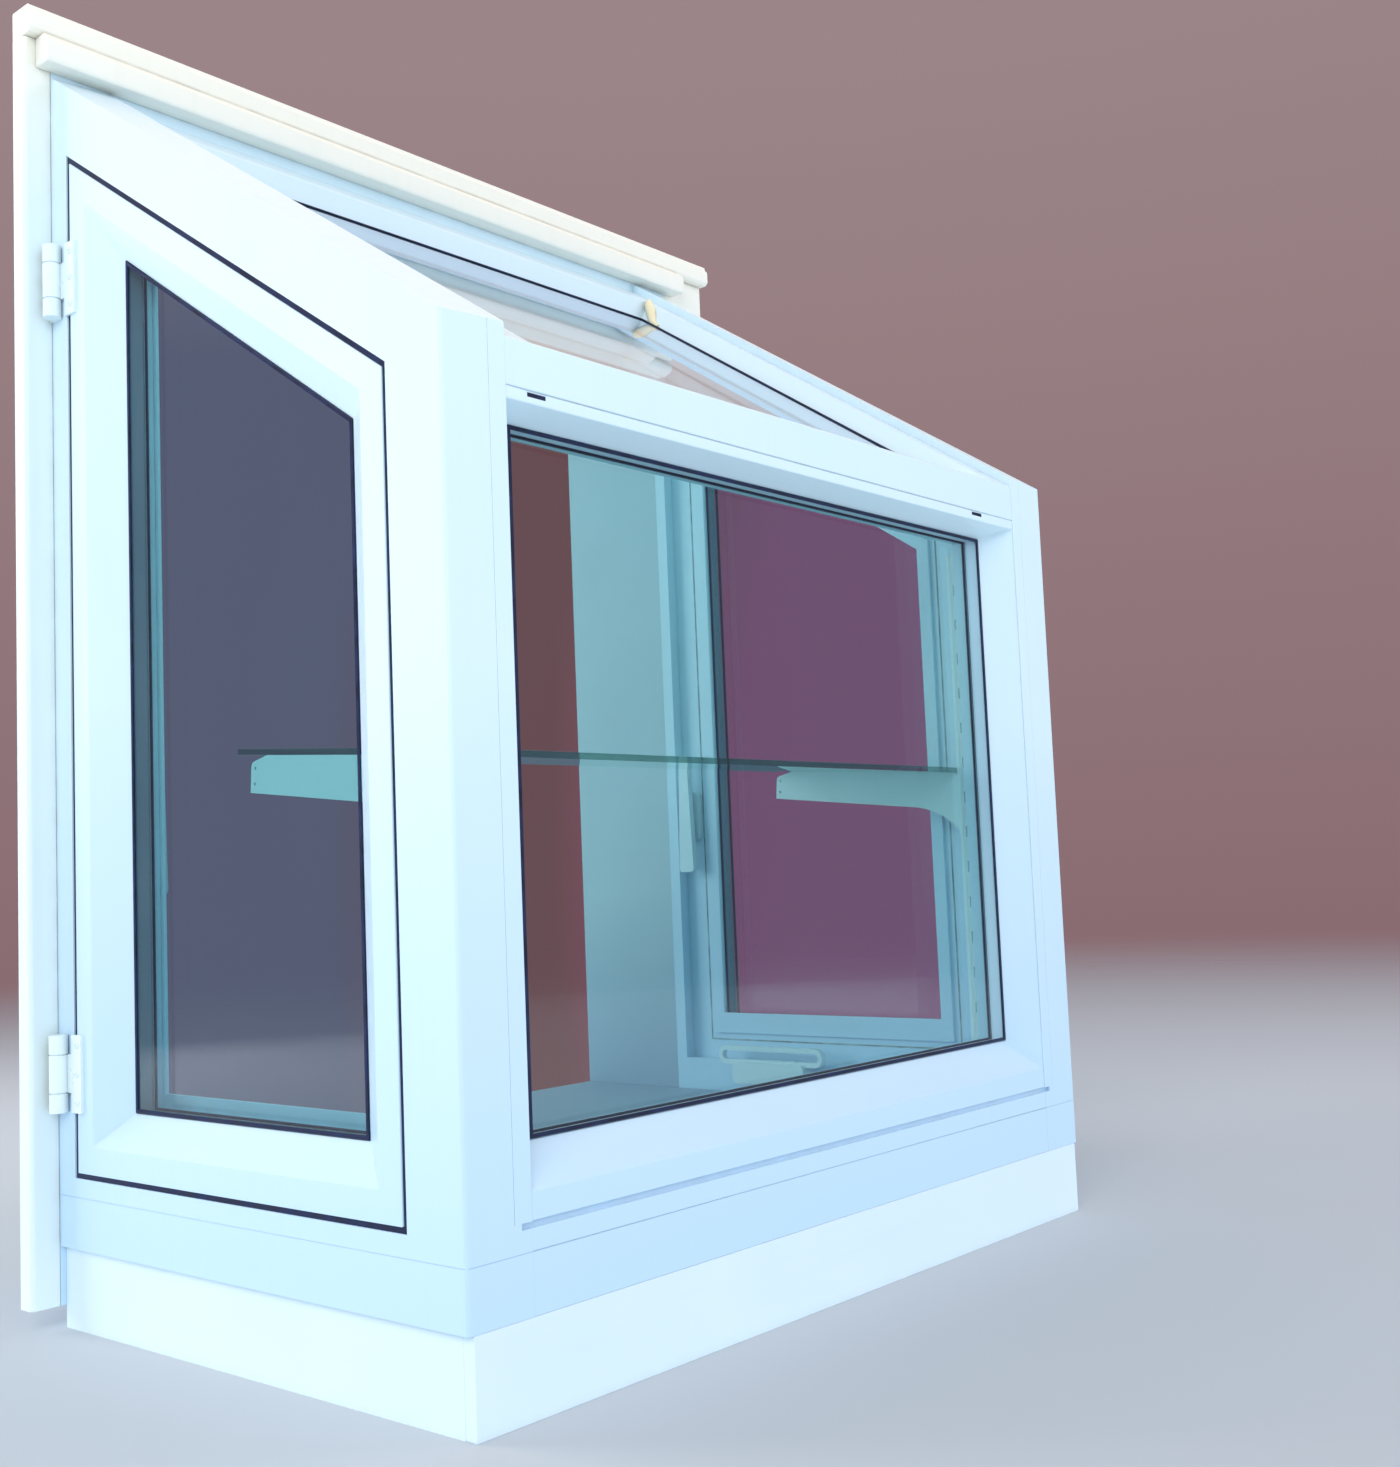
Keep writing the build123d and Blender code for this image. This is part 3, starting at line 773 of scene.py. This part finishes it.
floor_mesh = bmesh.new()
floor_corners = [
    (-FLOOR_REACH, -FLOOR_REACH),
    (FLOOR_REACH, -FLOOR_REACH),
    (FLOOR_REACH, FLOOR_REACH),
    (-FLOOR_REACH, FLOOR_REACH),
]
floor_mesh.faces.new([floor_mesh.verts.new((x, y, FLOOR_LEVEL)) for x, y in floor_corners])
floor = new_object("studio_floor", floor_mesh, floor_material())


# Light

# Soft area lamps: place, aim, size, power in watts and colour
LAMPS = {
    "key": ((-3.2, -2.4, 2.1), (0, -0.3, 0.7), (2.4, 2.4), 77, (0.94, 0.99, 1.0)),
    "side": ((2.8, -3.2, 1.8), (0, -0.3, 0.6), (2.4, 2.4), 42, (1.0, 0.96, 1.0)),
    "top": ((0.2, -0.6, 3.8), (0, -0.3, 0.6), (2.4, 2.4), 13, (1.0, 0.90, 0.80)),
    "room": ((-1.7, 2.4, 1.2), (0.35, -0.3, 0.45), (1.8, 1.6), 58, (1.0, 0.99, 0.96)),
}
for name, (place, aim, size, power, colour) in LAMPS.items():
    lamp_data = bpy.data.lights.new(name, "AREA")
    lamp_data.shape = "RECTANGLE"
    lamp_data.size, lamp_data.size_y = size
    lamp_data.energy = power
    lamp_data.color = colour
    lamp = bpy.data.objects.new(name, lamp_data)
    lamp.location = place
    lamp.rotation_euler = (Vector(aim) - Vector(place)).to_track_quat("-Z", "Y").to_euler()
    lamp.visible_glossy = False
    lamp.visible_camera = False
    bpy.context.scene.collection.objects.link(lamp)

# The surroundings: soft pale light all round, a brighter sky for the roof glass to mirror, and a plain
# backdrop of muted rose behind the part. Through glass the camera sees plain tones instead: dusk on the
# left, then a strip of red, and rose on the right.
BACKDROP_LOW = (0.250, 0.150, 0.165)
BACKDROP_HIGH = (0.330, 0.235, 0.245)
AROUND_LOW = (0.28, 0.40, 0.58)
AROUND_HIGH = (0.53, 0.55, 0.60)
MIRRORED_LOW = (0.20, 0.20, 0.27)
MIRRORED_HIGH = (1.65, 1.32, 1.06)
THROUGH_DUSK = (0.165, 0.13, 0.21)
THROUGH_RED = (0.27, 0.08, 0.08)
THROUGH_ROSE = (0.72, 0.105, 0.25)
# Where one colour takes over from the next, as the upward or the rightward part of a direction
AROUND_BAND = (-0.05, 0.45)
MIRRORED_BAND = (0.30, 0.75)
RED_BAND = (0.60, 0.67)
ROSE_BAND = (0.70, 0.78)
# A ray has passed glass from its second clear surface on, because the floor's own fade counts as one
GLAZED_DEPTHS = (1.0, 2.0)


def surroundings():
    """World light that differs for mirrors, for soft light, for the camera and for the view through glass."""
    world = bpy.data.worlds.new("studio")
    world.use_nodes = True
    tree = world.node_tree
    coords = add(tree, "ShaderNodeTexCoord")
    split = add(tree, "ShaderNodeSeparateXYZ")
    fill(tree, split.inputs[0], coords.outputs["Generated"])
    rightward, upward = split.outputs["X"], split.outputs["Z"]
    rise = ranged(tree, upward, *AROUND_BAND)
    sky = ranged(tree, upward, *MIRRORED_BAND)
    around = blended(tree, rise, AROUND_LOW, AROUND_HIGH)
    mirrored = blended(tree, sky, MIRRORED_LOW, MIRRORED_HIGH)
    backdrop = blended(tree, rise, BACKDROP_LOW, BACKDROP_HIGH)
    through = blended(tree, ranged(tree, rightward, *RED_BAND), THROUGH_DUSK, THROUGH_RED)
    through = blended(tree, ranged(tree, rightward, *ROSE_BAND), through, THROUGH_ROSE)
    path = add(tree, "ShaderNodeLightPath")
    glazed = ranged(tree, path.outputs["Transparent Depth"], *GLAZED_DEPTHS)
    seen = blended(tree, glazed, backdrop, through)
    colour = blended(tree, path.outputs["Is Glossy Ray"], around, mirrored)
    colour = blended(tree, path.outputs["Is Camera Ray"], colour, seen)
    fill(tree, tree.nodes["Background"].inputs["Color"], colour)
    return world


scene = bpy.context.scene
scene.world = surroundings()
scene.view_settings.view_transform = "Standard"

# The photograph's camera
CAMERA_PLACE = Vector((-1.2532, -1.5010, 0.3238))
CAMERA_AZIMUTH = math.radians(-49.80)
CAMERA_ELEVATION = math.radians(4.785)
CAMERA_ROLL = math.radians(-2.371)
CAMERA_LENS = 40.24
CAMERA_SENSOR = 36

forward = Vector(
    (
        -math.sin(CAMERA_AZIMUTH) * math.cos(CAMERA_ELEVATION),
        math.cos(CAMERA_AZIMUTH) * math.cos(CAMERA_ELEVATION),
        math.sin(CAMERA_ELEVATION),
    )
)
level_right = forward.cross(Vector((0, 0, 1))).normalized()
level_up = level_right.cross(forward)
right = level_right * math.cos(CAMERA_ROLL) + level_up * math.sin(CAMERA_ROLL)
up = level_up * math.cos(CAMERA_ROLL) - level_right * math.sin(CAMERA_ROLL)
camera_data = bpy.data.cameras.new("camera")
camera_data.lens = CAMERA_LENS
camera_data.sensor_width = CAMERA_SENSOR
camera = bpy.data.objects.new("camera", camera_data)
camera.matrix_world = Matrix.Translation(CAMERA_PLACE) @ Matrix((right, up, -forward)).transposed().to_4x4()
scene.collection.objects.link(camera)
scene.camera = camera
